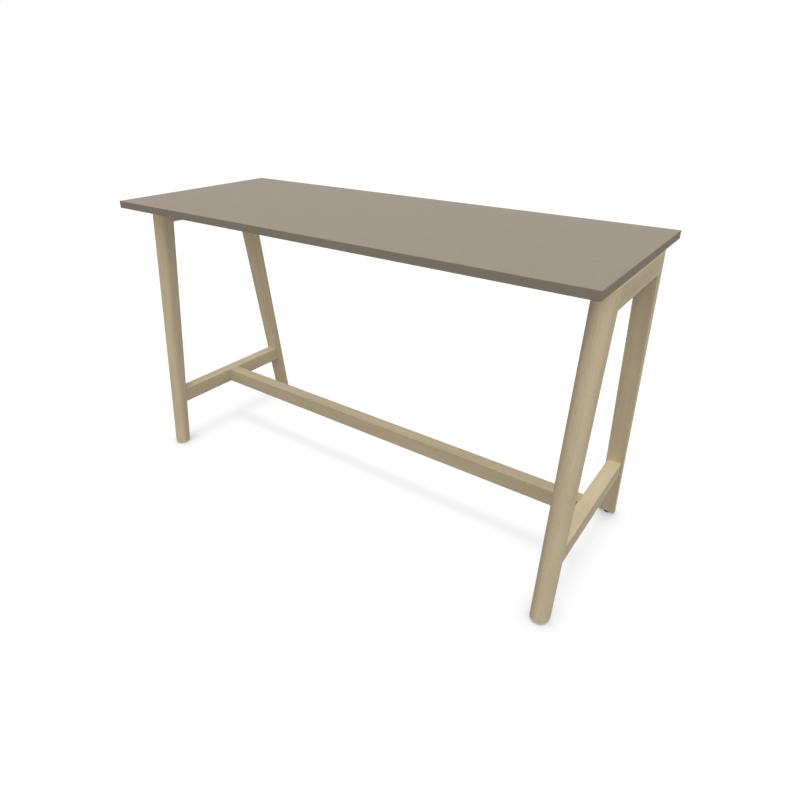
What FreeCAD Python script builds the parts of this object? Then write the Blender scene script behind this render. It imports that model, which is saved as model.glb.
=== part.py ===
import FreeCAD
import Part
import Sketcher
import math
import os

# A high table. A laminated board with banded edges lies on two splayed end frames of solid wood, held
# a little clear of them by spacers. A low stretcher and a steel channel under the board tie the frames.
# Millimetres: X runs along the table, Y from front to rear and Z up, from the floor at mid table.
# Each end frame is drawn about its own middle and then placed; the left one is turned half round.

SIZES = {
    # Tabletop
    "top_length": 1800,
    "top_width": 700,
    "table_height": 1050,
    "board_thickness": 25,
    "band_thickness": 2,
    "band_radius": 1.5,
    "band_land": 0.3,
    # Legs: the insets run in from the long edge of the top to the round side of the leg
    "frame_inset": 4,
    "leg_width": 60,
    "head_inset": 111,
    "foot_inset": 7,
    "head_flat": 35,
    "foot_flat": 14,
    "wood_radius": 1.5,
    # Rails and stretcher
    "top_gap": 8,
    "top_rail_height": 63,
    "low_rail_width": 48,
    "low_rail_height": 58,
    "low_rail_level": 250,
    # Glued dowels
    "dowel_diameter": 10,
    "dowel_length": 60,
    "dowel_spacing": 28,
    "dowel_fit": 0.05,
    "dowel_well": 1,
    # Knock-down joint at each end of the stretcher
    "stud_diameter": 8,
    "stud_clearance": 0.5,
    "stud_insert_diameter": 12,
    "stud_insert_length": 20,
    "stud_dowel_wall": 3,
    "stud_end": 6,
    "pocket_diameter": 30,
    "pocket_setback": 50,
    "pocket_headroom": 2,
    "half_moon_height": 22,
    "half_moon_flat": 3,
    "half_moon_fit": 0.1,
    "nut_flats": 13,
    "nut_thickness": 6.5,
    # Screws, bolts and threaded inserts
    "screw_diameter": 6,
    "screw_clearance": 0.4,
    "screw_head_diameter": 10,
    "screw_head_height": 6,
    "screw_socket_flats": 5,
    "screw_socket_depth": 3,
    "screw_tip_gap": 2,
    "screw_setback": 64,
    "washer_diameter": 13,
    "washer_thickness": 1.6,
    "counterbore_clearance": 1.5,
    "counterbore_depth": 22,
    "spacer_diameter": 30,
    "insert_diameter": 10,
    "insert_length": 15,
    "insert_fit": 0.05,
    "thread_fit": 0.05,
    # Steel channel under the board
    "beam_width": 60,
    "beam_height": 40,
    "beam_wall": 2.5,
    "beam_bend": 4,
    "plate_thickness": 5,
    "plate_height": 50,
    "plate_drop": 4,
    "plate_margin": 12,
    "beam_bolt_gap": 10,
    "bolt_head_diameter": 11,
    "bolt_head_height": 3.5,
    "bolt_socket_flats": 4,
    "bolt_socket_depth": 2,
    "wood_screw_diameter": 5,
    "wood_screw_length": 18,
    "wood_screw_head": 9.5,
    "wood_screw_head_height": 3,
    "cross_span": 5,
    "cross_width": 1.2,
    "cross_depth": 1.8,
    "wood_screw_setback": 90,
    # Levelling glides
    "glide_setback": 13.5,
    "glide_diameter": 25,
    "glide_height": 8,
    "glide_rim": 4.5,
    "glide_neck_diameter": 18,
    "stem_diameter": 8,
    "stem_length": 34,
    "stem_seat": 2.5,
    "stem_well": 4,
    "glide_insert_diameter": 12,
    "glide_insert_length": 25,
}

# Levels and distances that follow from the sizes; head and foot are the two ends of a leg
PLACES = {
    "board_bottom": "dims.table_height - dims.board_thickness",
    "frame_top": "board_bottom - dims.top_gap",
    "leg_x": "dims.top_length / 2 - dims.frame_inset - dims.leg_width / 2",
    "foot_out": "dims.top_width / 2 - dims.foot_inset",
    "foot_in": "foot_out - dims.leg_width / 2 - dims.foot_flat",
    "head_in": "dims.top_width / 2 - dims.head_inset - dims.leg_width / 2 - dims.head_flat",
    "splay": "(foot_in - head_in) / (frame_top - dims.glide_height)",
    "top_rail_bottom": "frame_top - dims.top_rail_height",
    "top_joint_z": "frame_top - dims.top_rail_height / 2",
    "low_rail_bottom": "dims.low_rail_level - dims.low_rail_height",
    "low_joint_z": "dims.low_rail_level - dims.low_rail_height / 2",
    "dowel_half": "dims.dowel_length / 2 + dims.dowel_well",
    "stretcher_half": "leg_x - dims.low_rail_width / 2",
    "stud_dowel_y": "(dims.stud_insert_diameter + dims.dowel_diameter) / 2 + dims.stud_dowel_wall",
    "pocket_x": "stretcher_half - dims.pocket_setback",
    "nut_face_x": "pocket_x + dims.half_moon_flat",
    "screw_y": "head_in - dims.screw_setback",
    "screw_seat_z": "top_rail_bottom + dims.counterbore_depth - dims.washer_thickness",
    "screw_bore": "dims.screw_diameter + 2 * dims.screw_clearance",
    "screw_reach": "dims.insert_length - dims.screw_tip_gap",
    "insert_bore": "dims.insert_diameter + 2 * dims.insert_fit",
    "insert_depth": "dims.insert_length + dims.insert_fit",
    "beam_half": "leg_x - dims.leg_width / 2 - dims.plate_thickness",
    "beam_bottom": "board_bottom - dims.beam_height",
    "beam_web_z": "board_bottom - dims.beam_wall",
    "beam_bolt_y": "dims.beam_width / 2 + dims.beam_bolt_gap",
    "plate_half": "beam_bolt_y + dims.plate_margin",
    "plate_bottom": "frame_top - dims.plate_drop - dims.plate_height",
    "beam_bolt_z": "plate_bottom + dims.plate_height / 2",
    "glide_y": "foot_in + dims.glide_setback",
    "stem_in_leg": "dims.stem_length + dims.stem_seat - dims.glide_height",
}

SIDES = {"left": -1, "right": 1}
DEPTHS = {"front": -1, "rear": 1}
WOOD_SCREWS = 6
START, END, CENTRE = 1, 2, 3
ORIGIN, UPRIGHT = -1, -2
TOLERANCE = 0.001
TURNS = {
    "+X": FreeCAD.Rotation(FreeCAD.Vector(0, 1, 0), 90),
    "-X": FreeCAD.Rotation(FreeCAD.Vector(0, 1, 0), -90),
    "+Y": FreeCAD.Rotation(FreeCAD.Vector(1, 0, 0), -90),
    "+Z": FreeCAD.Rotation(),
}

doc = FreeCAD.newDocument("high_table")
subparts = []


def fill(sheet, cells):
    """Write one aliased cell to a row."""
    for row, (alias, content) in enumerate(cells.items(), start=1):
        sheet.set(f"A{row}", alias)
        sheet.set(f"B{row}", content)
        sheet.setAlias(f"B{row}", alias)


dims = doc.addObject("Spreadsheet::Sheet", "dims")
fill(dims, {alias: str(size) for alias, size in SIZES.items()})
places = doc.addObject("Spreadsheet::Sheet", "places")
fill(places, {alias: "=" + formula for alias, formula in PLACES.items()})
doc.recompute()


def bind(thing, formulas):
    """Tie properties of an object to formulas over the two sheets."""
    for name, formula in formulas.items():
        thing.setExpression(name, formula)
    return thing


def put(thing, at, along="+Z"):
    """Place an object at three formulas, with its own Z axis turned to face along."""
    thing.Placement = FreeCAD.Placement(FreeCAD.Vector(), TURNS[along])
    return bind(thing, {f"Placement.Base.{axis}": formula for axis, formula in zip("xyz", at)})


def shifted(at, along, offset):
    """The point that lies a formula further along a direction."""
    point = list(at)
    axis = "XYZ".index(along[1])
    point[axis] = f"{point[axis]} {along[0]} ({offset})"
    return point


def boxed(box, size, at):
    """Give a box its three sizes and its low corner."""
    return put(bind(box, dict(zip(("Length", "Width", "Height"), size))), at)


def block(name, size, at):
    return boxed(doc.addObject("Part::Box", name), size, at)


def rod(name, diameter, length, at, along="+Z"):
    """A cylinder from the middle of its first end."""
    cylinder = doc.addObject("Part::Cylinder", name)
    return put(bind(cylinder, {"Radius": f"({diameter}) / 2", "Height": length}), at, along)


def hexagon(name, flats, height, at, along="+Z"):
    """A six-sided prism by its size across flats."""
    prism = doc.addObject("Part::Prism", name)
    prism.Polygon = 6
    return put(bind(prism, {"Circumradius": f"{flats} / sqrt(3)", "Height": height}), at, along)


def fused(name, pieces):
    union = doc.addObject("Part::MultiFuse", name)
    union.Shapes = pieces
    return union


def cut(name, base, tools):
    """A piece with material taken away."""
    remainder = doc.addObject("Part::Cut", name)
    remainder.Base = base
    remainder.Tool = tools[0] if len(tools) == 1 else fused(f"{name}Tools", tools)
    return remainder


def headed(name, head, shank, at, along):
    """A screw from the top of its head; head and shank are (diameter, length)."""
    neck = shifted(at, along, head[1])
    return fused(name, [rod(f"{name}Head", *head, at, along), rod(f"{name}Shank", *shank, neck, along)])


def sleeve(name, diameter, bore, length, at, along="+Z"):
    """A round piece with a hole right through."""
    blank = rod(f"{name}Blank", diameter, length, at, along)
    return cut(name, blank, [rod(f"{name}Bore", bore, length, at, along)])


def keep(thing, label):
    """Name a finished sub-part."""
    thing.Label = label
    subparts.append(thing)


def group(label, pieces):
    """Like pieces that share one node as separate solids."""
    compound = doc.addObject("Part::Compound", label)
    compound.Links = pieces
    keep(compound, label)


def outline(body, name, role):
    """An empty sketch on one of a body's own origin planes."""
    sketch = body.newObject("Sketcher::SketchObject", name)
    plane = next(item for item in body.Origin.OriginFeatures if item.Role == role)
    sketch.AttachmentSupport = [(plane, "")]
    sketch.MapMode = "FlatFace"
    return sketch


def constrain(sketch, *constraint):
    return sketch.addConstraint(Sketcher.Constraint(*constraint))


def measure(sketch, name, formula, *constraint):
    """Add a named dimension that follows a formula."""
    sketch.renameConstraint(constrain(sketch, *constraint), name)
    sketch.setExpression(f"Constraints.{name}", formula)


def line(x0, y0, x1, y1):
    return Part.LineSegment(FreeCAD.Vector(x0, y0, 0), FreeCAD.Vector(x1, y1, 0))


def arc(x, y, radius, first, last):
    """A counter-clockwise arc between two angles in degrees."""
    circle = Part.Circle(FreeCAD.Vector(x, y, 0), FreeCAD.Vector(0, 0, 1), radius)
    return Part.ArcOfCircle(circle, math.radians(first), math.radians(last))


def edges_where(shape, test):
    """Names of the edges whose two end points pass a test."""
    return [f"Edge{number}" for number, edge in enumerate(shape.Edges, start=1)
            if test(edge.Vertexes[0].Point, edge.Vertexes[-1].Point)]


def runs_along(axis):
    """A test for edges that run along one axis."""
    return lambda first, last: first.distanceToPoint(last) - abs(last[axis] - first[axis]) < TOLERANCE


def ease(body, base, names, radius):
    """Round the named edges of a body's feature."""
    fillet = body.newObject("PartDesign::Fillet", "Eased")
    fillet.Base = (base, names)
    fillet.setExpression("Radius", radius)
    body.Tip = fillet


def stand(piece, side, turn):
    """Place a piece of an end frame; a turn of -1 faces it the other way about the frame's middle."""
    angle = 0 if turn > 0 else 180
    piece.Placement = FreeCAD.Placement(FreeCAD.Vector(), FreeCAD.Rotation(FreeCAD.Vector(0, 0, 1), angle))
    piece.setExpression("Placement.Base.x", f"{side} * places.leg_x")


def outward(side):
    return "+X" if side > 0 else "-X"


# Edge bands: plastic strips with eased outer edges, the long ones over the ends of the short ones

def band(label, size, at, is_eased):
    body = doc.addObject("PartDesign::Body", "Band")
    strip = boxed(body.newObject("PartDesign::AdditiveBox", "Strip"), size, at)
    doc.recompute()
    radius = "min(dims.band_radius; dims.band_thickness - dims.band_land)"
    ease(body, strip, edges_where(strip.Shape, is_eased(strip.Shape.BoundBox)), radius)
    keep(body, label)


def outside(axis, sign):
    """A test for edges on the outer side of a strip, made for the strip's own box."""
    def for_box(box):
        limit = (box.XMax, box.YMax)[axis] if sign > 0 else (box.XMin, box.YMin)[axis]
        return lambda first, last: max(abs(first[axis] - limit), abs(last[axis] - limit)) < TOLERANCE
    return for_box


def outside_along(axis, sign):
    """The same, without the two ends of the strip, which other strips cover."""
    def for_box(box):
        is_outer = outside(axis, sign)(box)
        return lambda first, last: is_outer(first, last) and abs(first.z - last.z) < TOLERANCE
    return for_box


long_band = ("dims.top_length", "dims.band_thickness", "dims.board_thickness")
short_band = ("dims.band_thickness", "dims.top_width - 2 * dims.band_thickness", "dims.board_thickness")
for name, depth in DEPTHS.items():
    y = f"{depth} * (dims.top_width - dims.band_thickness) / 2 - dims.band_thickness / 2"
    at = ("-dims.top_length / 2", y, "places.board_bottom")
    band(f"edge_band_{name}", long_band, at, outside(1, depth))
for name, side in SIDES.items():
    x = f"{side} * (dims.top_length - dims.band_thickness) / 2 - dims.band_thickness / 2"
    at = (x, "dims.band_thickness - dims.top_width / 2", "places.board_bottom")
    band(f"edge_band_{name}", short_band, at, outside_along(0, side))


# Dowels: every rail end and stretcher end has two, glued half into each piece

def dowel(at, along):
    start = shifted(at, along, "-dims.dowel_length / 2")
    return rod("Dowel", "dims.dowel_diameter", "dims.dowel_length", start, along)


def dowel_bore(at, along):
    """The hole that one dowel needs in both pieces, with room for glue at its ends."""
    start = shifted(at, along, "-places.dowel_half")
    bore = "dims.dowel_diameter + 2 * dims.dowel_fit"
    return rod("DowelBore", bore, "2 * places.dowel_half", start, along)


def inner_face(level):
    """How far the inner face of a leg lies from the middle of the frame at a level."""
    return f"(places.head_in + places.splay * (places.frame_top - ({level})))"


def top_joint(depth, middle="0"):
    """Middles of the two dowels between top rail and leg, side by side."""
    y = f"{depth} * {inner_face('places.top_joint_z')}"
    return [(f"{middle} + {side} * dims.dowel_spacing / 2", y, "places.top_joint_z") for side in (-1, 1)]


def low_joint(depth, middle="0"):
    """Middles of the two dowels between side rail and leg, one above the other."""
    y = f"{depth} * {inner_face('places.low_joint_z')}"
    return [(middle, y, f"places.low_joint_z + {up} * dims.dowel_spacing / 2") for up in (-1, 1)]


def stretcher_joint(end):
    """Middles of the two dowels between stretcher and side rail, either side of the stud."""
    return [(end, f"{depth} * places.stud_dowel_y", "places.low_joint_z") for depth in (-1, 1)]


# Legs: a section with a flat inner face, straight sides and a half-round outer side, lofted from the
# shallow foot to the deeper head; both ends are level

def leg_section(body, name, level, inner, flat):
    """A level section; inner names the place of its inner face and flat the length of its sides."""
    sketch = outline(body, name, "XY_Plane")
    sketch.setExpression("AttachmentOffset.Base.z", level)
    half = dims.leg_width / 2
    radius = dims.wood_radius
    face = getattr(places, inner)
    spring = face + getattr(dims, flat)
    sketch.addGeometry([
        line(radius - half, face, half - radius, face),
        arc(half - radius, face + radius, radius, 270, 360),
        line(half, face + radius, half, spring),
        arc(0, spring, half, 0, 180),
        line(-half, spring, -half, face + radius),
        arc(radius - half, face + radius, radius, 180, 270),
    ], False)
    inner_line, corner, side_line, outer_round, other_side, other_corner = range(6)
    for this in range(6):
        constrain(sketch, "Tangent", this, END, (this + 1) % 6, START)
    constrain(sketch, "Horizontal", inner_line)
    constrain(sketch, "Vertical", side_line)
    constrain(sketch, "Vertical", other_side)
    constrain(sketch, "Equal", corner, other_corner)
    constrain(sketch, "PointOnObject", outer_round, CENTRE, UPRIGHT)
    measure(sketch, "Corner", "dims.wood_radius", "Radius", corner, radius)
    measure(sketch, "Round", "dims.leg_width / 2", "Radius", outer_round, half)
    measure(sketch, "Face", f"places.{inner}", "DistanceY", ORIGIN, START, inner_line, START, face)
    measure(sketch, "Flat", f"dims.{flat}",
            "DistanceY", inner_line, START, outer_round, CENTRE, spring - face)
    return sketch


def leg(label, side, depth):
    body = doc.addObject("PartDesign::Body", "Leg")
    foot = leg_section(body, "Foot", "dims.glide_height", "foot_in", "foot_flat")
    head = leg_section(body, "Head", "places.frame_top", "head_in", "head_flat")
    taper = body.newObject("PartDesign::AdditiveLoft", "Taper")
    taper.Profile = foot
    taper.Sections = [head]
    taper.Ruled = True
    body.Tip = taper
    tools = [dowel_bore(at, "+Y") for at in top_joint(1) + low_joint(1)]
    tools.append(rod("GlideBore", "dims.glide_insert_diameter + 2 * dims.insert_fit",
                     "max(dims.glide_insert_length; places.stem_in_leg) + dims.stem_well",
                     ("0", "places.glide_y", "dims.glide_height")))
    piece = cut("LegBored", body, tools)
    stand(piece, side, depth)
    keep(piece, label)


for depth_name, depth in DEPTHS.items():
    for side_name, side in SIDES.items():
        leg(f"leg_{depth_name}_{side_name}", side, depth)


# Rails: the ends are sawn to the slope of the legs and butt against their inner faces

def rail_stock(name, bottom, height, width):
    """A rail between the legs, from its outline seen along the table."""
    body = doc.addObject("PartDesign::Body", name)
    sketch = outline(body, "Outline", "YZ_Plane")
    low, high = getattr(places, bottom), places.frame_top
    wide, narrow = places.foot_in, places.head_in
    sketch.addGeometry([
        line(-wide, low, wide, low),
        line(wide, low, narrow, high),
        line(narrow, high, -narrow, high),
        line(-narrow, high, -wide, low),
    ], False)
    lower, upper = 0, 2
    for this in range(4):
        constrain(sketch, "Coincident", this, END, (this + 1) % 4, START)
    constrain(sketch, "Symmetric", lower, START, lower, END, UPRIGHT)
    constrain(sketch, "Symmetric", upper, START, upper, END, UPRIGHT)
    under = f"2 * {inner_face(f'places.{bottom}')}"
    over = f"2 * {inner_face(f'places.{bottom} + {height}')}"
    measure(sketch, "Bottom", f"places.{bottom}", "DistanceY", ORIGIN, START, lower, START, low)
    measure(sketch, "Height", height, "DistanceY", lower, START, upper, END, high - low)
    measure(sketch, "Under", under, "DistanceX", lower, START, lower, END, 2 * wide)
    measure(sketch, "Over", over, "DistanceX", upper, END, upper, START, 2 * narrow)
    pad = body.newObject("PartDesign::Pad", "Stock")
    pad.Profile = sketch
    pad.SideType = "Symmetric"
    pad.setExpression("Length", width)
    doc.recompute()
    ease(body, pad, edges_where(pad.Shape, runs_along(1)), "dims.wood_radius")
    return body


def top_rail(label, side):
    stock = rail_stock("TopRail", "top_rail_bottom", "dims.top_rail_height", "dims.leg_width")
    tools = []
    for depth in DEPTHS.values():
        tools += [dowel_bore(at, "+Y") for at in top_joint(depth)]
        below = ("0", f"{depth} * places.screw_y", "places.top_rail_bottom")
        within = ("-dims.leg_width / 2", f"{depth} * places.beam_bolt_y", "places.beam_bolt_z")
        tools.append(rod("ScrewBore", "places.screw_bore", "dims.top_rail_height", below))
        tools.append(rod("Counterbore", "dims.washer_diameter + 2 * dims.counterbore_clearance",
                         "dims.counterbore_depth", below))
        tools.append(rod("InsertBore", "places.insert_bore", "places.insert_depth", within, "+X"))
    piece = cut("TopRailBored", stock, tools)
    stand(piece, side, side)
    keep(piece, label)


def side_rail(label, side):
    stock = rail_stock("SideRail", "low_rail_bottom", "dims.low_rail_height", "dims.low_rail_width")
    inside = ("-dims.low_rail_width / 2", "0", "places.low_joint_z")
    tools = [dowel_bore(at, "+Y") for depth in DEPTHS.values() for at in low_joint(depth)]
    tools += [dowel_bore(at, "+X") for at in stretcher_joint(inside[0])]
    tools.append(rod("StudInsertBore", "dims.stud_insert_diameter + 2 * dims.insert_fit",
                     "dims.stud_insert_length + dims.insert_fit", inside, "+X"))
    piece = cut("SideRailBored", stock, tools)
    stand(piece, side, side)
    keep(piece, label)


top_dowels = []
side_dowels = []
for name, side in SIDES.items():
    top_rail(f"top_rail_{name}", side)
    side_rail(f"side_rail_{name}", side)
    for depth in DEPTHS.values():
        top_dowels += [dowel(at, "+Y") for at in top_joint(depth, f"{side} * places.leg_x")]
        side_dowels += [dowel(at, "+Y") for at in low_joint(depth, f"{side} * places.leg_x")]
group("top_rail_dowels", top_dowels)
group("side_rail_dowels", side_dowels)


# Stretcher: a stud at each end draws it up to the side rail. The nut, in a round pocket in the
# underside, pulls on a half-moon that bears on the wall of the pocket.

stretcher = doc.addObject("PartDesign::Body", "Stretcher")
stock = boxed(stretcher.newObject("PartDesign::AdditiveBox", "Stock"),
              ("2 * places.stretcher_half", "dims.low_rail_width", "dims.low_rail_height"),
              ("-places.stretcher_half", "-dims.low_rail_width / 2", "places.low_rail_bottom"))
doc.recompute()
ease(stretcher, stock, edges_where(stock.Shape, runs_along(0)), "dims.wood_radius")

tools = []
dowels = []
studs = []
stud_inserts = []
half_moons = []
nuts = []
stud_bore = "dims.stud_diameter + 2 * dims.stud_clearance"
stud_thread = "dims.stud_diameter + 2 * dims.thread_fit"
for side in SIDES.values():
    along = outward(side)
    end = (f"{side} * places.stretcher_half", "0", "places.low_joint_z")
    pocket = (f"{side} * places.pocket_x", "0", "places.low_joint_z")
    nut_face = (f"{side} * places.nut_face_x", "0", "places.low_joint_z")
    nut_back = shifted(nut_face, along, "-dims.nut_thickness")
    for at in stretcher_joint(end[0]):
        dowels.append(dowel(at, "+X"))
        tools.append(dowel_bore(at, "+X"))
    tools.append(rod("StudBore", stud_bore, "dims.pocket_setback", pocket, along))
    tools.append(rod("Pocket", "dims.pocket_diameter",
                     "(dims.low_rail_height + dims.half_moon_height) / 2 + dims.pocket_headroom",
                     (pocket[0], "0", "places.low_rail_bottom")))
    studs.append(rod("Stud", "dims.stud_diameter",
                     "places.stretcher_half + dims.stud_insert_length + dims.stud_end"
                     " + dims.nut_thickness - places.nut_face_x",
                     shifted(nut_back, along, "-dims.stud_end"), along))
    stud_inserts.append(sleeve("StudInsert", "dims.stud_insert_diameter", stud_thread,
                               "dims.stud_insert_length", end, along))
    disc = rod("HalfMoonDisc", "dims.pocket_diameter - 2 * dims.half_moon_fit", "dims.half_moon_height",
               (pocket[0], "0", "places.low_joint_z - dims.half_moon_height / 2"))
    cut_away = block("HalfMoonAway",
                     ("dims.pocket_diameter", "dims.pocket_diameter", "dims.low_rail_height"),
                     (f"{nut_face[0]} - {(1 + side) // 2} * dims.pocket_diameter",
                      "-dims.pocket_diameter / 2", "places.low_rail_bottom"))
    passage = rod("HalfMoonBore", stud_bore, "dims.pocket_diameter", pocket, along)
    half_moons.append(cut("HalfMoon", disc, [cut_away, passage]))
    nut = hexagon("NutBlank", "dims.nut_flats", "dims.nut_thickness", nut_back, along)
    nuts.append(cut("Nut", nut, [rod("NutThread", stud_thread, "dims.nut_thickness", nut_back, along)]))

keep(cut("StretcherBored", stretcher, tools), "stretcher")
group("stretcher_dowels", dowels)
group("stretcher_studs", studs)
group("stretcher_stud_inserts", stud_inserts)
group("stretcher_half_moons", half_moons)
group("stretcher_nuts", nuts)


# Fixings of the board: a socket screw goes up through the top rail and a spacer into an insert

board_tools = []
spacers = []
screws = []
washers = []
board_inserts = []
screw_thread = "dims.screw_diameter + 2 * dims.thread_fit"
screw_head = ("dims.screw_head_diameter", "dims.screw_head_height")
screw_shank = ("dims.screw_diameter", "places.board_bottom + places.screw_reach - places.screw_seat_z")
for side in SIDES.values():
    for depth in DEPTHS.values():
        plan = (f"{side} * places.leg_x", f"{depth} * places.screw_y")
        seat = (*plan, "places.screw_seat_z")
        head = (*plan, "places.screw_seat_z - dims.screw_head_height")
        under = (*plan, "places.board_bottom")
        spacers.append(sleeve("Spacer", "dims.spacer_diameter", "places.screw_bore", "dims.top_gap",
                              (*plan, "places.frame_top")))
        washers.append(sleeve("Washer", "dims.washer_diameter", "places.screw_bore",
                              "dims.washer_thickness", seat))
        socket = hexagon("Socket", "dims.screw_socket_flats", "dims.screw_socket_depth", head)
        screws.append(cut("SocketScrew", headed("TopScrew", screw_head, screw_shank, head, "+Z"), [socket]))
        board_inserts.append(sleeve("BoardInsert", "dims.insert_diameter", screw_thread,
                                    "dims.insert_length", under))
        board_tools.append(rod("BoardInsertBore", "places.insert_bore", "places.insert_depth", under))
group("top_spacers", spacers)
group("top_screws", screws)
group("top_screw_washers", washers)
group("top_inserts", board_inserts)


# Steel channel, open below and screwed to the board. A plate is welded to each end and bolted to the
# inner side of the top rail.

channel = doc.addObject("PartDesign::Body", "Channel")
bar = boxed(channel.newObject("PartDesign::AdditiveBox", "Bar"),
            ("2 * places.beam_half", "dims.beam_width", "dims.beam_height"),
            ("-places.beam_half", "-dims.beam_width / 2", "places.beam_bottom"))
doc.recompute()
is_lengthwise = runs_along(0)
bends = edges_where(bar.Shape,
                    lambda first, last: is_lengthwise(first, last) and first.z > places.beam_web_z)
ease(channel, bar, bends, "dims.beam_bend")
hollow = block("Hollow", ("2 * places.beam_half", "dims.beam_width - 2 * dims.beam_wall",
                          "dims.beam_height - dims.beam_wall"),
               ("-places.beam_half", "dims.beam_wall - dims.beam_width / 2", "places.beam_bottom"))
weldment = [cut("ChannelOpened", channel, [hollow])]
beam_tools = []
beam_bolts = []
beam_inserts = []
bolt_head = ("dims.bolt_head_diameter", "dims.bolt_head_height")
bolt_shank = ("dims.screw_diameter", "dims.plate_thickness + places.screw_reach")
for side in SIDES.values():
    along = outward(side)
    plate_x = f"{side} * (places.beam_half + dims.plate_thickness / 2) - dims.plate_thickness / 2"
    weldment.append(block("EndPlate", ("dims.plate_thickness", "2 * places.plate_half", "dims.plate_height"),
                          (plate_x, "-places.plate_half", "places.plate_bottom")))
    for depth in DEPTHS.values():
        inside = (f"{side} * places.beam_half", f"{depth} * places.beam_bolt_y", "places.beam_bolt_z")
        rail_face = shifted(inside, along, "dims.plate_thickness")
        head = shifted(inside, along, "-dims.bolt_head_height")
        beam_tools.append(rod("PlateBore", "places.screw_bore", "dims.plate_thickness", inside, along))
        socket = hexagon("BoltSocket", "dims.bolt_socket_flats", "dims.bolt_socket_depth", head, along)
        beam_bolts.append(cut("BeamBolt", headed("Bolt", bolt_head, bolt_shank, head, along), [socket]))
        beam_inserts.append(sleeve("RailInsert", "dims.insert_diameter", screw_thread, "dims.insert_length",
                                   rail_face, along))

wood_screws = []
wood_head = ("dims.wood_screw_head", "dims.wood_screw_head_height")
wood_shank = ("dims.wood_screw_diameter", "dims.wood_screw_length")
cross = [("dims.cross_span", "dims.cross_width", "dims.cross_depth"),
         ("dims.cross_width", "dims.cross_span", "dims.cross_depth")]
for index in range(WOOD_SCREWS):
    share = 2 * index / (WOOD_SCREWS - 1) - 1
    x = f"{share} * (places.beam_half - dims.wood_screw_setback)"
    head = (x, "0", "places.beam_web_z - dims.wood_screw_head_height")
    wood_screws.append(cut("WoodScrew", headed("Screw", wood_head, wood_shank, head, "+Z"),
                           [block("Cross", size, (f"{x} - {size[0]} / 2", f"-{size[1]} / 2", head[2]))
                            for size in cross]))
    beam_tools.append(rod("WebBore", "dims.wood_screw_diameter + 2 * dims.screw_clearance", "dims.beam_wall",
                          (x, "0", "places.beam_web_z")))
    board_tools.append(rod("PilotBore", "dims.wood_screw_diameter + 2 * dims.thread_fit",
                           "dims.wood_screw_length - dims.beam_wall + dims.thread_fit",
                           (x, "0", "places.board_bottom")))
keep(cut("BeamBored", fused("BeamWelded", weldment), beam_tools), "under_top_beam")
group("beam_bolts", beam_bolts)
group("beam_inserts", beam_inserts)
group("beam_board_screws", wood_screws)


# Board: chipboard with laminated faces, one solid, bored from below for inserts and screws

board = block("Board",
              ("dims.top_length - 2 * dims.band_thickness",
               "dims.top_width - 2 * dims.band_thickness", "dims.board_thickness"),
              ("dims.band_thickness - dims.top_length / 2", "dims.band_thickness - dims.top_width / 2",
               "places.board_bottom"))
keep(cut("BoardBored", board, board_tools), "tabletop_board")


# Levelling glides: a plastic pad moulded on a threaded stem, which screws into an insert in the leg,
# close behind its inner face

glide_inserts = []
for depth_name, depth in DEPTHS.items():
    for side_name, side in SIDES.items():
        corner = f"{depth_name}_{side_name}"
        plan = (f"{side} * places.leg_x", f"{depth} * places.glide_y")
        rim = rod("GlideRim", "dims.glide_diameter", "dims.glide_rim", (*plan, "0"))
        neck = bind(doc.addObject("Part::Cone", "GlideNeck"), {
            "Radius1": "dims.glide_diameter / 2",
            "Radius2": "dims.glide_neck_diameter / 2",
            "Height": "dims.glide_height - dims.glide_rim",
        })
        put(neck, (*plan, "dims.glide_rim"))
        seat = (*plan, "dims.stem_seat")
        mould = rod("StemSeat", "dims.stem_diameter", "dims.glide_height - dims.stem_seat", seat)
        keep(cut("GlidePad", fused("GlideMoulding", [rim, neck]), [mould]), f"glide_pad_{corner}")
        keep(rod("Stem", "dims.stem_diameter", "dims.stem_length", seat), f"glide_stem_{corner}")
        glide_inserts.append(sleeve("GlideInsert", "dims.glide_insert_diameter",
                                    "dims.stem_diameter + 2 * dims.thread_fit", "dims.glide_insert_length",
                                    (*plan, "dims.glide_height")))
group("glide_inserts", glide_inserts)


# Check every object and write each sub-part to its own file

doc.recompute()
failed = [item.Label for item in doc.Objects if "Invalid" in item.State or "Error" in item.State]
if failed:
    raise RuntimeError("failed objects: " + ", ".join(failed))
for piece in subparts:
    if piece.Shape.isNull() or not piece.Shape.isValid() or not piece.Shape.Solids:
        raise RuntimeError("no valid solid: " + piece.Label)
os.makedirs("parts", exist_ok=True)
for piece in subparts:
    piece.Shape.exportStep(f"parts/{piece.Label}.step")
    print(piece.Label, len(piece.Shape.Solids), round(piece.Shape.Volume), "mm3")
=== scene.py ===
import math

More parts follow.
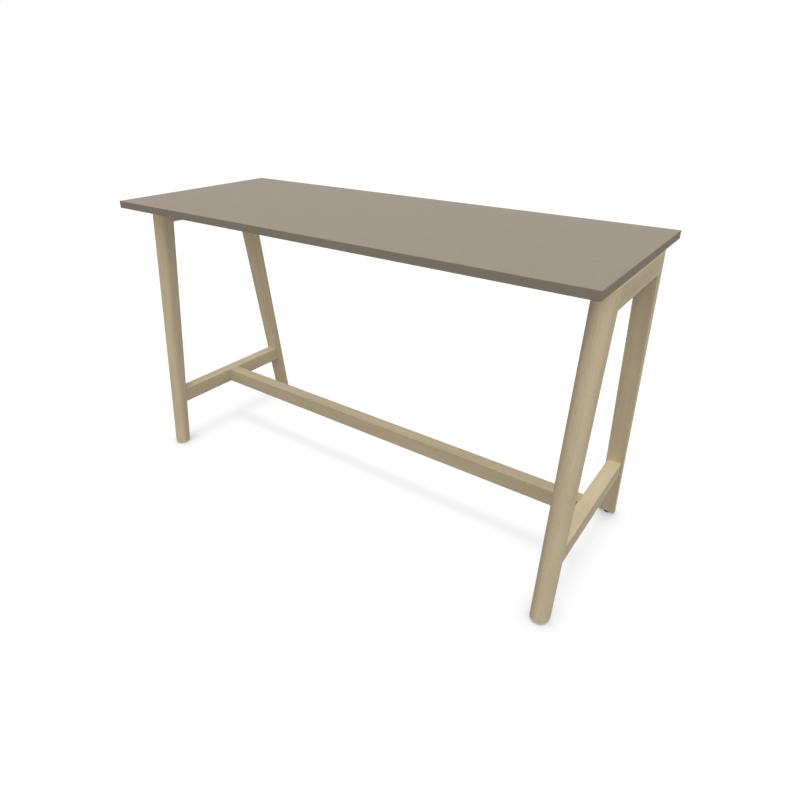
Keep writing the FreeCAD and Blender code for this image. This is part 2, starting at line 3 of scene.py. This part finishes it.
import bpy
import numpy as np
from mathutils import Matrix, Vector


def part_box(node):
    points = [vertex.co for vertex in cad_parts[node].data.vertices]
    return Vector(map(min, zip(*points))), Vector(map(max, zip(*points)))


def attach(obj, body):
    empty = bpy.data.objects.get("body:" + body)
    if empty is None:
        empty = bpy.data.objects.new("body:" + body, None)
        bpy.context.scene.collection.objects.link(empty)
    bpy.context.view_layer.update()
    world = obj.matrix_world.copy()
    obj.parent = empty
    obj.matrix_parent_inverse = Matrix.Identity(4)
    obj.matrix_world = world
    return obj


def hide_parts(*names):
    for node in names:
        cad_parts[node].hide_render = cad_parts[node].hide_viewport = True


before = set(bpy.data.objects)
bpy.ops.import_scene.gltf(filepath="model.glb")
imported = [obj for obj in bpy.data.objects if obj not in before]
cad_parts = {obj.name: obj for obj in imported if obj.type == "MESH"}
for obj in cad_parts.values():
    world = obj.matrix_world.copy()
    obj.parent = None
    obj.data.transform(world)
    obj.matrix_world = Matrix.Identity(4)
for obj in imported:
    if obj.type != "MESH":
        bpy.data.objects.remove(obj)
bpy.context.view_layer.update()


# Legs: four straight legs of solid pale ash, tapered, with a flat inner face and a half-round outer
# side. They are planed, eased along the corners and at both ends, and finished in a clear matt
# lacquer. A bore in the foot takes the insert of the levelling glide.

LEG_CORNER = 0.0015
LEG_END_EASE = 0.001
LEG_END_BORDER = 0.0004
LEG_HEAD_FLAT = 0.035
LEG_FOOT_FLAT = 0.014
LEG_BORE_RADIUS = 0.00605
LEG_BORE_DEPTH = 0.0325
LEG_RINGS = 24
CREASE = math.radians(35)

ASH_EARLY = (206, 190, 158)
ASH_LATE = (199, 182, 150)
WOOD_PORES = (150, 130, 98)
WOOD_GLOSS = 0.06
GRAIN_DEPTH = 0.0002
RING_WIDTH = 0.0045
RING_WANDER = 0.03
PITH_OFFSET = (0, 0.03, 0.085)


def node(tree, kind, inputs, **settings):
    """Add a shader node, set its properties, then link or fill each of its inputs."""
    made = tree.nodes.new("ShaderNode" + kind)
    for name, value in settings.items():
        setattr(made, name, value)
    for name, value in inputs.items():
        if isinstance(value, bpy.types.NodeSocket):
            tree.links.new(value, made.inputs[name])
        else:
            made.inputs[name].default_value = value
    return made


def maths(tree, operation, *values):
    """The result of one sum on up to three numbers."""
    return node(tree, "Math", dict(enumerate(values)), operation=operation).outputs[0]


def ramp(tree, value, start, stop, low=0.0, high=1.0, **settings):
    """A number that goes from low to high while value goes from start to stop, and stays between them."""
    limits = {"From Min": start, "From Max": stop, "To Min": low, "To Max": high}
    return node(tree, "MapRange", {"Value": value, **limits}, **settings).outputs[0]


def noise(tree, place, scale, detail, roughness=0.5):
    """Clouds from 0 to 1, of about scale to the metre, with detail times finer clouds laid over them."""
    settings = {"Scale": scale, "Detail": detail, "Roughness": roughness}
    return node(tree, "TexNoise", {"Vector": place, **settings}).outputs["Fac"]


def drawn_out(tree, place, share):
    """The place with its run along X cut to a share, so that noise on it is drawn out along X."""
    return node(tree, "VectorMath", {0: place, 1: (share, 1, 1)}, operation="MULTIPLY").outputs[0]


def mixed(tree, share, first, second):
    """The first colour where share is 0 and the second where it is 1."""
    return node(tree, "Mix", {0: share, 6: first, 7: second}, data_type="RGBA").outputs[2]


def effect(name, given, made):
    """Start a node group with named inputs and outputs, each a (name, kind) pair."""
    group = bpy.data.node_groups.new(name, "ShaderNodeTree")
    for label, kind in given:
        group.interface.new_socket(label, in_out="INPUT", socket_type="NodeSocket" + kind)
    for label, kind in made:
        group.interface.new_socket(label, in_out="OUTPUT", socket_type="NodeSocket" + kind)
    return group, group.nodes.new("NodeGroupInput").outputs, group.nodes.new("NodeGroupOutput").inputs


def new_finish(name):
    """A new material, its node tree, the inputs of its shader, and the place on the piece."""
    finish = bpy.data.materials.new(name)
    finish.use_nodes = True
    tree = finish.node_tree
    place = node(tree, "TexCoord", {}).outputs["Object"]
    return finish, tree, tree.nodes["Principled BSDF"].inputs, place


def srgb(red, green, blue):
    """The linear colour of an 8-bit screen colour."""
    part = np.array([red, green, blue]) / 255
    linear = np.where(part > 0.04045, ((part + 0.055) / 1.055) ** 2.4, part / 12.92)
    return (*linear, 1.0)


# Growth rings are the distance from a pith that lies outside the piece, bent by noise drawn out along
# the grain. Each year, from 0 to 1, goes from pale early wood with open pores to darker late wood, which
# ends at winter. The first three pairs say where in the year each of these begins and where it is full.
EARLY_WOOD = (0.45, 0.1)
LATE_WOOD = (0.35, 0.92)
WINTER = (1.0, 0.94)
YEAR_DARKNESS = (0.3, 1.0)
BROAD_TONE = (0.92, 1.05)
FIBRE_TONE = (0.96, 1.03)
NOISE_MIDDLE = (0.3, 0.7)
VESSEL_EDGE = (0.62, 0.72)
PORE_COVER = 0.5
WOOD_ROUGHNESS = (0.7, 0.58)

timber, wood_in, wood_out = effect(
    "timber_figure",
    [("Grain", "Vector"), ("Early wood", "Color"), ("Late wood", "Color"), ("Pores", "Color")],
    [("Colour", "Color"), ("Roughness", "Float"), ("Height", "Float")])
grain = wood_in["Grain"]
flowing = drawn_out(timber, grain, share=0.1)
across = node(timber, "VectorMath", {0: grain, 1: (0, 1, 1), 2: PITH_OFFSET}, operation="MULTIPLY_ADD")
from_pith = node(timber, "VectorMath", {0: across.outputs[0]}, operation="LENGTH").outputs["Value"]
drift = noise(timber, flowing, scale=16, detail=3)
bent = maths(timber, "MULTIPLY_ADD", drift, RING_WANDER, from_pith)
years = maths(timber, "DIVIDE", bent, RING_WIDTH)
season = maths(timber, "FRACT", years)
year = maths(timber, "FLOOR", years)
weather = node(timber, "TexWhiteNoise", {"W": year}, noise_dimensions="1D").outputs["Value"]
late = ramp(timber, season, *LATE_WOOD, interpolation_type="SMOOTHSTEP")
dense = maths(timber, "MULTIPLY", late, ramp(timber, season, *WINTER))
ring = maths(timber, "MULTIPLY", dense, ramp(timber, weather, 0, 1, *YEAR_DARKNESS))
ringed = mixed(timber, ring, wood_in["Early wood"], wood_in["Late wood"])
broad = noise(timber, flowing, scale=34, detail=2)
tone = ramp(timber, broad, *NOISE_MIDDLE, *BROAD_TONE)
fibre = noise(timber, drawn_out(timber, grain, share=0.012), scale=900, detail=2)
streak = ramp(timber, fibre, *NOISE_MIDDLE, *FIBRE_TONE)
shade = maths(timber, "MULTIPLY", tone, streak)
toned = node(timber, "VectorMath", {0: ringed, "Scale": shade}, operation="SCALE").outputs[0]
vessel = noise(timber, drawn_out(timber, grain, share=0.06), scale=1300, detail=0)
pore = maths(timber, "MULTIPLY", ramp(timber, vessel, *VESSEL_EDGE), ramp(timber, season, *EARLY_WOOD))
pored = mixed(timber, maths(timber, "MULTIPLY", pore, PORE_COVER), toned, wood_in["Pores"])
relief = maths(timber, "MULTIPLY_ADD", pore, -1.0, streak)
timber.links.new(pored, wood_out["Colour"])
timber.links.new(ramp(timber, relief, 0, 1, *WOOD_ROUGHNESS), wood_out["Roughness"])
timber.links.new(relief, wood_out["Height"])


def planed_wood(name, centre, turn, early=ASH_EARLY, late=ASH_LATE):
    """Wood whose grain runs along the X axis of a frame that stands at centre and is turned by turn."""
    finish, tree, shader, place = new_finish(name)
    grain = node(tree, "Mapping", {"Vector": place, "Location": centre, "Rotation": turn},
                 vector_type="TEXTURE")
    figure = node(tree, "Group", {
        "Grain": grain.outputs["Vector"],
        "Early wood": srgb(*early),
        "Late wood": srgb(*late),
        "Pores": srgb(*WOOD_PORES),
    }, node_tree=timber).outputs
    bump = node(tree, "Bump", {"Height": figure["Height"], "Strength": 0.2, "Distance": GRAIN_DEPTH})
    tree.links.new(figure["Colour"], shader["Base Color"])
    tree.links.new(figure["Roughness"], shader["Roughness"])
    tree.links.new(bump.outputs["Normal"], shader["Normal"])
    shader["Specular IOR Level"].default_value = WOOD_GLOSS
    return finish


def skin(name, rings, finish):
    """Mesh of a closed tube: rings[row, column] joined in quads, with the first and last ring filled."""
    rows, columns = rings.shape[:2]
    index = np.arange(rows * columns).reshape(rows, columns)
    beside = np.roll(index, -1, axis=1)
    quads = np.stack([index[:-1], beside[:-1], beside[1:], index[1:]], axis=-1).reshape(-1, 4)
    ends = [index[0, ::-1].tolist(), index[-1].tolist()]
    mesh = bpy.data.meshes.new(name)
    mesh.from_pydata(rings.reshape(-1, 3), [], quads.tolist() + ends)
    mesh.shade_smooth()
    mesh.set_sharp_from_angle(angle=CREASE)
    mesh.materials.append(finish)
    piece = bpy.data.objects.new(name, mesh)
    bpy.context.collection.objects.link(piece)
    return piece


def leg_outline(half, corner, face, spring):
    """Level section of a leg, one for each row of the arguments: a flat at y = face between two corner
    arcs, a straight side up to y = spring on both hands, and a half circle about (0, spring)."""
    inside = np.array([-0.985, -0.5, 0.0, 0.5, 0.985])
    along = np.array([0.02, 0.35, 0.65, 0.97])
    quarter = np.radians(np.linspace(270, 360, 7))
    round_side = np.radians(np.linspace(0, 180, 49))
    level = face + corner + (spring - face - corner) * along
    x = [(half - corner) * inside,
         half - corner + corner * np.cos(quarter),
         np.broadcast_to(half, level.shape),
         half * np.cos(round_side),
         np.broadcast_to(-half, level.shape),
         corner - half - corner * np.cos(quarter[::-1])]
    y = [np.broadcast_to(face, (len(face), len(inside))),
         face + corner + corner * np.sin(quarter),
         level,
         spring + half * np.sin(round_side),
         level[:, ::-1],
         face + corner + corner * np.sin(quarter[::-1])]
    return np.concatenate(x, axis=1), np.concatenate(y, axis=1)


def leg_rings(low, high, outward, bore):
    """Rings from the top of the glide bore, at y = bore, down its wall, out over the foot, up the tapered
    side and over the head. The section is drawn between foot and head by height; an eased end shrinks
    it by ease * (1 - sin t) while it rises by ease * (1 - cos t)."""
    width = high.x - low.x
    head_face, foot_back = np.sort(np.abs([low.y, high.y]))
    foot_face = foot_back - width / 2 - LEG_FOOT_FLAT
    turn = np.linspace(0, np.pi / 2, 6)
    shrink = np.concatenate([[LEG_END_EASE + LEG_END_BORDER], LEG_END_EASE * (1 - np.sin(turn))])
    rise = np.concatenate([[0], LEG_END_EASE * (1 - np.cos(turn))])
    body = np.linspace(low.z + 3 * LEG_END_EASE, high.z - 3 * LEG_END_EASE, LEG_RINGS)
    z = np.concatenate([low.z + rise, body, high.z - rise[::-1]])[:, None]
    inset = np.concatenate([shrink, np.zeros(len(body)), shrink[::-1]])[:, None]
    share = (z - low.z) / (high.z - low.z)
    face = foot_face + (head_face - foot_face) * share
    flat = LEG_FOOT_FLAT + (LEG_HEAD_FLAT - LEG_FOOT_FLAT) * share
    x, y = leg_outline(width / 2 - inset, LEG_CORNER - inset, face + inset, face + flat)
    angle = np.arctan2(y[0] - bore, x[0])
    bore_z = low.z + np.array([LEG_BORE_DEPTH, 0])[:, None]
    bore_x = np.tile(LEG_BORE_RADIUS * np.cos(angle), (2, 1))
    bore_y = np.tile(bore + LEG_BORE_RADIUS * np.sin(angle), (2, 1))
    x = np.concatenate([bore_x, x])
    y = np.concatenate([bore_y, y])
    z = np.broadcast_to(np.concatenate([bore_z, z]), x.shape)
    return np.stack([(low.x + high.x) / 2 + outward * x, outward * y, z], axis=-1)


# Each leg's timber is rolled about its grain by its own angle in degrees, so that no two look alike.
LEG_ROLLS = {"leg_front_left": 40, "leg_front_right": -25, "leg_rear_left": 150, "leg_rear_right": 75}
for name, roll in LEG_ROLLS.items():
    low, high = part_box(name)
    outward = 1 if low.y > 0 else -1
    mean_depth = (LEG_HEAD_FLAT + LEG_FOOT_FLAT + high.x - low.x) / 2
    lean = math.atan2(outward * (high.y - low.y - mean_depth), high.z - low.z)
    turn = (math.radians(roll), -math.pi / 2 - lean, math.pi / 2)
    finish = planed_wood(name + "_ash", (low + high) / 2, turn)
    stem_low, stem_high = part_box(name.replace("leg", "glide_stem"))
    bore = abs(stem_low.y + stem_high.y) / 2
    leg = skin(name + "_shaped", leg_rings(low, high, outward, bore), finish)
    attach(leg, "table")
    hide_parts(name)


# Rails: two solid ash rails tie each pair of legs, a deep one under the board and a low one. Their ends
# are sawn to the slope of the legs and glued on with dowels. The right-hand pair is coloured darker than
# the rest of the frames, which is painted shade that dims their outer faces under the soft box.

# A darker copy of the ash colours: painted shade, used on the right-hand rails and the stretcher.
PAINTED_SHADE_STOCK = {"early": (196, 181, 151), "late": (188, 173, 142)}
RAIL_ROLLS = {"top_rail_left": 20, "top_rail_right": 205, "side_rail_left": 110, "side_rail_right": -60}


def dress(finish, *names):
    """Give CAD pieces a finish."""
    for name in names:
        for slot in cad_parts[name].material_slots:
            slot.material = finish


for name, roll in RAIL_ROLLS.items():
    low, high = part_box(name)
    # Painted shade: the right-hand rails take the darker copy of the ash colours.
    painted_shade_stock = PAINTED_SHADE_STOCK if name.endswith("right") else {}
    turn = (math.radians(roll), 0, math.pi / 2)
    dress(planed_wood(name + "_ash", (low + high) / 2, turn, **painted_shade_stock), name)


# Stretcher: one long solid ash bar between the low rails, drawn tight by a stud at each end. It takes the
# darker copy of the ash too, painted shade for the shade under the tabletop that the soft box doesn't
# cast.

STRETCHER_ROLL = 65
low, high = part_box("stretcher")
turn = (math.radians(STRETCHER_ROLL), 0, 0)
dress(planed_wood("stretcher_ash", (low + high) / 2, turn, **PAINTED_SHADE_STOCK), "stretcher")


# Dowels: turned beech pegs at every rail and stretcher joint, glued half into each piece and hidden
# once the frame is together.

BEECH_STOCK = {"early": (206, 178, 146), "late": (194, 164, 131)}
DOWEL_TURNS = {"top_rail_dowels": math.pi / 2, "side_rail_dowels": math.pi / 2, "stretcher_dowels": 0}
for name, turn in DOWEL_TURNS.items():
    dress(planed_wood(name + "_beech", (0, 0, 0), (0, 0, turn), **BEECH_STOCK), name)


# Bright fittings: studs, nuts, half-moons, screws, washers and threaded inserts of zinc-plated steel,
# with the cloudy patches of a barrel plating.

ZINC_CLEAR = (196, 198, 200)
ZINC_CLOUDED = (168, 170, 168)
ZINC_ROUGHNESS = (0.24, 0.46)
ZINC_PIECES = ("stretcher_studs", "stretcher_stud_inserts", "stretcher_half_moons", "stretcher_nuts",
               "top_screws", "top_screw_washers", "top_inserts", "beam_bolts", "beam_inserts",
               "beam_board_screws", "glide_inserts")

zinc, tree, shader, place = new_finish("zinc_plate")
cloud = noise(tree, place, scale=220, detail=4)
tree.links.new(mixed(tree, cloud, srgb(*ZINC_CLEAR), srgb(*ZINC_CLOUDED)), shader["Base Color"])
tree.links.new(ramp(tree, cloud, 0, 1, *ZINC_ROUGHNESS), shader["Roughness"])
shader["Metallic"].default_value = 1.0
dress(zinc, *ZINC_PIECES)


# Steel channel: bent sheet with a plate welded to each end, powder-coated black. The coat has the slight
# orange peel of a baked powder.

peel, peel_in, peel_out = effect(
    "moulded_skin",
    [("Place", "Vector"), ("Size", "Float"), ("Dull", "Float"), ("Bright", "Float")],
    [("Roughness", "Float"), ("Height", "Float"), ("Mottle", "Float")])
fine = noise(peel, peel_in["Place"], scale=peel_in["Size"], detail=2)
slow = noise(peel, peel_in["Place"], scale=70, detail=4, roughness=0.7)
uneven = maths(peel, "MULTIPLY_ADD", fine, 0.5, slow)
sheen = ramp(peel, uneven, 0.4, 1.1, peel_in["Bright"], peel_in["Dull"])
peel.links.new(sheen, peel_out["Roughness"])
peel.links.new(fine, peel_out["Height"])
peel.links.new(ramp(peel, slow, 0.32, 0.68), peel_out["Mottle"])


def skinned(name, colour, other, per_metre, bright, dull, depth, gloss):
    """A coated or moulded surface mottled in two close colours. Its peel has per_metre bumps to the
    metre, depth deep, and its roughness goes from bright to dull."""
    finish, tree, shader, place = new_finish(name)
    coat = node(tree, "Group", {"Place": place, "Size": per_metre, "Bright": bright, "Dull": dull},
                node_tree=peel).outputs
    bump = node(tree, "Bump", {"Height": coat["Height"], "Strength": 0.3, "Distance": depth})
    tree.links.new(mixed(tree, coat["Mottle"], srgb(*colour), srgb(*other)), shader["Base Color"])
    tree.links.new(coat["Roughness"], shader["Roughness"])
    tree.links.new(bump.outputs["Normal"], shader["Normal"])
    shader["Specular IOR Level"].default_value = gloss
    return finish


powder_coat = skinned("black_powder_coat", colour=(36, 36, 37), other=(30, 30, 31), per_metre=700,
                      bright=0.42, dull=0.6, depth=0.0003, gloss=0.5)
dress(powder_coat, "under_top_beam")


# Board: chipboard with a greige melamine face above and below, which is dead matt with a very fine
# pearl to it. Spacers of black plastic hold it clear of the frames.

melamine = skinned("greige_melamine", colour=(155, 145, 129), other=(152, 141, 126), per_metre=2600,
                   bright=0.62, dull=0.7, depth=0.00012, gloss=0.1)
spacer_plastic = skinned("black_spacer", colour=(30, 30, 31), other=(38, 38, 38), per_metre=900,
                         bright=0.5, dull=0.65, depth=0.0002, gloss=0.4)
dress(melamine, "tabletop_board")
dress(spacer_plastic, "top_spacers")


# Edge bands: plastic strips welded on along all four sides and rounded over with a cutter. They are
# coloured a little darker than the face of the board, which is painted shade on the edges.

# Painted shade: a darker edge colour stands in for the shade on the board's edges.
painted_shade_edging = skinned("greige_edging_painted_shade", colour=(140, 129, 116), other=(136, 126, 112), per_metre=1500,
                 bright=0.58, dull=0.7, depth=0.00015, gloss=0.05)
dress(painted_shade_edging, "edge_band_front", "edge_band_rear", "edge_band_left", "edge_band_right")


# Levelling glides: a round black plastic pad moulded on a threaded steel stem that turns in the leg.
# The pad is drawn as a turned profile and the stem carries a rolled thread.

PAD_PROFILE = [(0.0098, 0.0), (0.0108, 0.0002), (0.0117, 0.0007), (0.0122, 0.0014), (0.0125, 0.0024),
               (0.0125, 0.0040), (0.0122, 0.0047), (0.0096, 0.0073), (0.0091, 0.0078), (0.0085, 0.0080),
               (0.0041, 0.0080)]
PAD_COLUMNS = 72
STEM_COLUMNS = 40
STEM_RINGS = 260
THREAD_PITCH = 0.00125
THREAD_DEPTH = 0.0006


def turned(low, high, radius, height, angle):
    """Points about the upright line through the middle of a box, at a height over its foot."""
    x = (low.x + high.x) / 2 + radius * np.cos(angle)
    y = (low.y + high.y) / 2 + radius * np.sin(angle)
    return np.stack([x, y, np.broadcast_to(low.z + height, x.shape)], axis=-1)


def pad_rings(low, high):
    """The profile's pairs of radius and height, turned once round."""
    radius, height = np.array(PAD_PROFILE).T[:, :, None]
    angle = np.linspace(0, 2 * np.pi, PAD_COLUMNS, endpoint=False)
    return turned(low, high, radius, height, angle)


def stem_rings(low, high):
    """A rod whose radius falls by a triangle wave of height minus turn, so that the groove climbs once
    round in each pitch; the groove runs out over the last pitch at either end."""
    height = np.linspace(0, high.z - low.z, STEM_RINGS)[:, None]
    angle = np.linspace(0, 2 * np.pi, STEM_COLUMNS, endpoint=False)
    wave = (height / THREAD_PITCH - angle / (2 * np.pi)) % 1
    groove = THREAD_DEPTH * (1 - np.abs(2 * wave - 1))
    runout = np.clip(np.minimum(height, high.z - low.z - height) / THREAD_PITCH, 0, 1)
    return turned(low, high, (high.x - low.x) / 2 - groove * runout, height, angle)


pad_plastic = skinned("black_glide", colour=(28, 28, 29), other=(36, 36, 37), per_metre=1100,
                      bright=0.4, dull=0.55, depth=0.0002, gloss=0.4)
for corner in ("front_left", "front_right", "rear_left", "rear_right"):
    pad = skin(f"glide_pad_{corner}_moulded", pad_rings(*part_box(f"glide_pad_{corner}")), pad_plastic)
    stem = skin(f"glide_stem_{corner}_threaded", stem_rings(*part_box(f"glide_stem_{corner}")), zinc)
    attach(pad, f"glide_{corner}")
    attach(stem, f"glide_{corner}")
    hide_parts(f"glide_pad_{corner}")
    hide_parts(f"glide_stem_{corner}")


# Floor: a plain pale floor that shows as white, in the camera and in bright metal. Close to what stands
# on it, its glow is greyed by ambient occlusion, a painted contact shade; the bands under the bars are
# cast by the floor light. From below it can be seen through, so that the underside shows.

FLOOR_HALF = 15.0
FLOOR_GREYS = (0.05, 0.1)
CONTACT_REACH = 0.1
CONTACT_SHADE_GLOWS = (0.25, 0.752)


def seen_directly(tree):
    """1 on rays from the camera, from a reflection or through glass, and 0 on those that carry light."""
    ray = node(tree, "LightPath", {}).outputs
    straight = maths(tree, "MAXIMUM", ray["Is Camera Ray"], ray["Is Glossy Ray"])
    return maths(tree, "MAXIMUM", straight, ray["Is Transmission Ray"])


floor_mesh = bpy.data.meshes.new("floor")
floor_corners = [(-FLOOR_HALF, -FLOOR_HALF, 0), (FLOOR_HALF, -FLOOR_HALF, 0),
                 (FLOOR_HALF, FLOOR_HALF, 0), (-FLOOR_HALF, FLOOR_HALF, 0)]
floor_mesh.from_pydata(floor_corners, [], [(0, 1, 2, 3)])
floor = bpy.data.objects.new("floor", floor_mesh)
bpy.context.collection.objects.link(floor)
pale = bpy.data.materials.new("pale_floor")
pale.use_nodes = True
tree = pale.node_tree
tree.nodes.remove(tree.nodes["Principled BSDF"])
# Painted contact shade: ambient occlusion greys the floor's glow close to what stands on it.
near = node(tree, "AmbientOcclusion", {"Distance": CONTACT_REACH}, samples=16)
painted_contact_shade = ramp(tree, near.outputs["AO"], 0, 1, *CONTACT_SHADE_GLOWS)
shown = seen_directly(tree)
glow = node(tree, "Emission", {"Strength": maths(tree, "MULTIPLY", shown, painted_contact_shade)})
lit = node(tree, "BsdfDiffuse", {"Color": ramp(tree, shown, 0, 1, *FLOOR_GREYS)})
above = node(tree, "AddShader", {0: lit.outputs[0], 1: glow.outputs[0]})
below = node(tree, "BsdfTransparent", {})
side = node(tree, "NewGeometry", {})
floored = node(tree, "MixShader",
               {0: side.outputs["Backfacing"], 1: above.outputs[0], 2: below.outputs[0]})
tree.links.new(floored.outputs[0], tree.nodes["Material Output"].inputs["Surface"])
floor_mesh.materials.append(pale)


# Light: a white dome and a large soft box on the camera's side, which the frame shades but the tabletop
# doesn't. A lamp above lays the soft bands of the bars on the floor alone, a weak one below stands for
# the light that the floor throws up, and one at the rear picks out the tops of the right-hand frame.

WHITE = (1, 1, 1, 1)
DOME_LEVEL = 0.7
BACKDROP_LEVEL = 1.0
SOFT_BOX_HEIGHT = 52
SOFT_BOX_ROUND = 36

scene = bpy.context.scene
scene.view_settings.view_transform = "Standard"
world = bpy.data.worlds.new("white_studio")
world.use_nodes = True
scene.world = world
tree = world.node_tree
dome = tree.nodes["Background"]
dome.inputs["Color"].default_value = WHITE
dome.inputs["Strength"].default_value = DOME_LEVEL
backdrop = node(tree, "Background", {"Color": WHITE, "Strength": BACKDROP_LEVEL})
sky = node(tree, "MixShader", {0: seen_directly(tree), 1: dome.outputs[0], 2: backdrop.outputs[0]})
tree.links.new(sky.outputs[0], tree.nodes["World Output"].inputs["Surface"])


def gathered(name, pieces):
    """A named set of pieces, for a lamp that lights only them or is shaded only by them."""
    together = bpy.data.collections.new(name)
    for piece in pieces:
        together.objects.link(piece)
    return together


def far_lamp(name, level, width, turn, lights=None, shaded_by=None, shadows=True):
    """A lamp like the sun, width degrees across and turned by turn in degrees from straight above. A
    level of 1 shows a matt surface square to it in its own colour."""
    lamp = bpy.data.lights.new(name, "SUN")
    lamp.energy = level * math.pi
    lamp.angle = math.radians(width)
    lamp.use_shadow = shadows
    hung = bpy.data.objects.new(name, lamp)
    hung.rotation_euler = [math.radians(angle) for angle in turn]
    bpy.context.collection.objects.link(hung)
    hung.light_linking.receiver_collection = lights
    hung.light_linking.blocker_collection = shaded_by


bars = [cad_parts[name] for name in (*RAIL_ROLLS, "stretcher")]
bars += [bpy.data.objects[name + "_shaped"] for name in LEG_ROLLS]
shading = gathered("frame_that_shades", bars)
right_end = gathered("right_end_frame", [bar for bar in bars if "right" in bar.name])
floor_alone = gathered("floor_alone", [floor])
soft_box_turn = (90 - SOFT_BOX_HEIGHT, 0, SOFT_BOX_ROUND)
far_lamp("soft_box", level=0.46, width=60, turn=soft_box_turn, shaded_by=shading)
far_lamp("floor_light", level=2.2, width=24, turn=(0, 0, 0), lights=floor_alone, shaded_by=shading)
far_lamp("floor_bounce", level=0.3, width=25, turn=(180, 0, 0), shaded_by=shading)
far_lamp("rim_light", level=0.26, width=20, turn=(-20, 0, 0), lights=right_end, shadows=False)


# Camera: where the photograph was taken from, found from the straight edges of the table. It stands in
# front of the right end, above the top, and looks down to the left.

CAMERA_PLACE = (1.2504, -1.5833, 1.4477)
CAMERA_DOWN = 28.714
CAMERA_ROUND = 35.513
FOCAL_LENGTH = 26.48
SENSOR_WIDTH = 36.0

lens = bpy.data.cameras.new("camera")
lens.sensor_width = SENSOR_WIDTH
lens.lens = FOCAL_LENGTH
camera = bpy.data.objects.new("camera", lens)
camera.location = CAMERA_PLACE
camera.rotation_euler = (math.radians(90 - CAMERA_DOWN), 0, math.radians(CAMERA_ROUND))
bpy.context.collection.objects.link(camera)
scene.camera = camera
